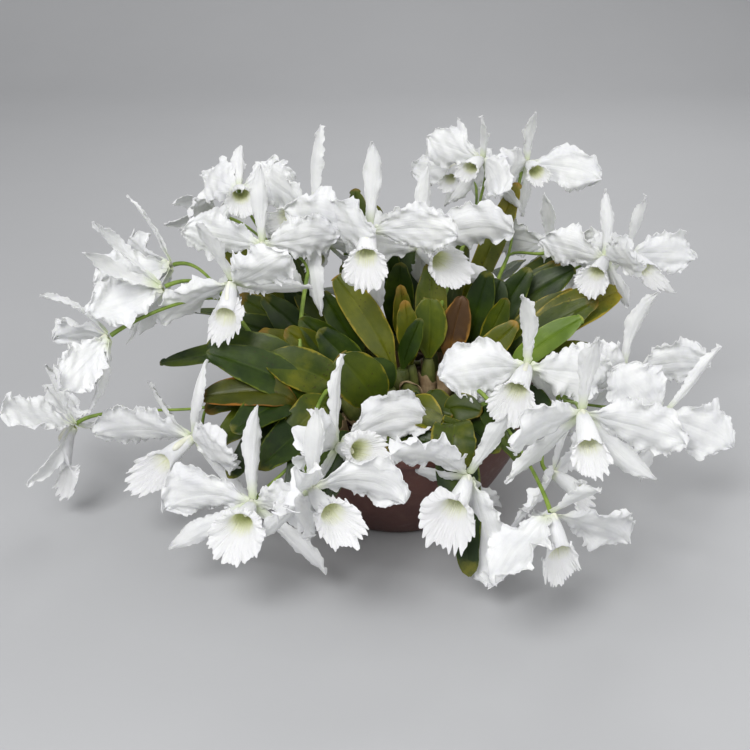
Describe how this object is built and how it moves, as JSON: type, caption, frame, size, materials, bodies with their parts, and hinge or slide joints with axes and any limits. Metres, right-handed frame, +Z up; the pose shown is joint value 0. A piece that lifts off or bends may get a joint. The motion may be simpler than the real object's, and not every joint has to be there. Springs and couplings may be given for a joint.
{
  "type": "potted orchid",
  "caption": "Large cattleya orchid in full white flower, with strap leaves and pseudobulbs, in a wide low plastic pot of bark.",
  "frame": {"origin": "centre of the pot's flat base, on the ground", "axes": "+Z up the pot's axis, -Y towards the side that the flowers mostly face, +X to that viewer's right"},
  "size_m": [0.8682, 0.706, 0.4769],
  "materials": {
    "pot_plastic": "reddish-brown moulded plastic, slightly dusty",
    "bark": "rough damp bark chips",
    "pseudobulb": "smooth grooved green to yellow stem",
    "stalk": "smooth waxy yellow-green",
    "petal": "white with a fine crystalline bloom, pale yellow-green in the throat",
    "leaf": "thick, satin, dark olive green"
  },
  "bodies": {
    "root": {"flower_01": "petal", "flower_02": "petal", "flower_03": "petal", "flower_04": "petal", "flower_05": "petal", "flower_06": "petal", "flower_07": "petal", "flower_08": "petal", "flower_09": "petal", "flower_10": "petal", "flower_11": "petal", "flower_12": "petal", "flower_13": "petal", "flower_14": "petal", "flower_15": "petal", "flower_16": "petal", "flower_17": "petal", "flower_18": "petal", "flower_19": "petal", "flower_20": "petal", "flower_21": "petal", "flower_22": "petal", "flower_23": "petal", "flower_24": "petal", "flower_25": "petal", "flower_26": "petal", "flower_27": "petal", "flower_28": "petal", "flower_29": "petal", "leaf_back_east": "leaf", "leaf_back_narrow": "leaf", "leaf_back_tall": "leaf", "leaf_back_west": "leaf", "leaf_far_east": "leaf", "leaf_front_broad": "leaf", "leaf_front_low": "leaf", "leaf_front_small": "leaf", "leaf_hanging": "leaf", "leaf_inner_east": "leaf", "leaf_long_gold": "leaf", "leaf_pale_east": "leaf", "leaf_upright": "leaf", "leaf_west": "leaf", "leaf_west_front": "leaf", "leaf_west_inner": "leaf", "leaf_west_upper": "leaf", "pot": "pot_plastic", "potting_bark": "bark", "rhizome": "pseudobulb", "spike_01": "stalk", "spike_02": "stalk", "spike_03": "stalk", "spike_04": "stalk", "spike_05": "stalk", "spike_06": "stalk", "spike_07": "stalk", "spike_08": "stalk", "spike_09": "stalk", "spike_10": "stalk", "spike_11": "stalk"}
  },
  "joints": []
}
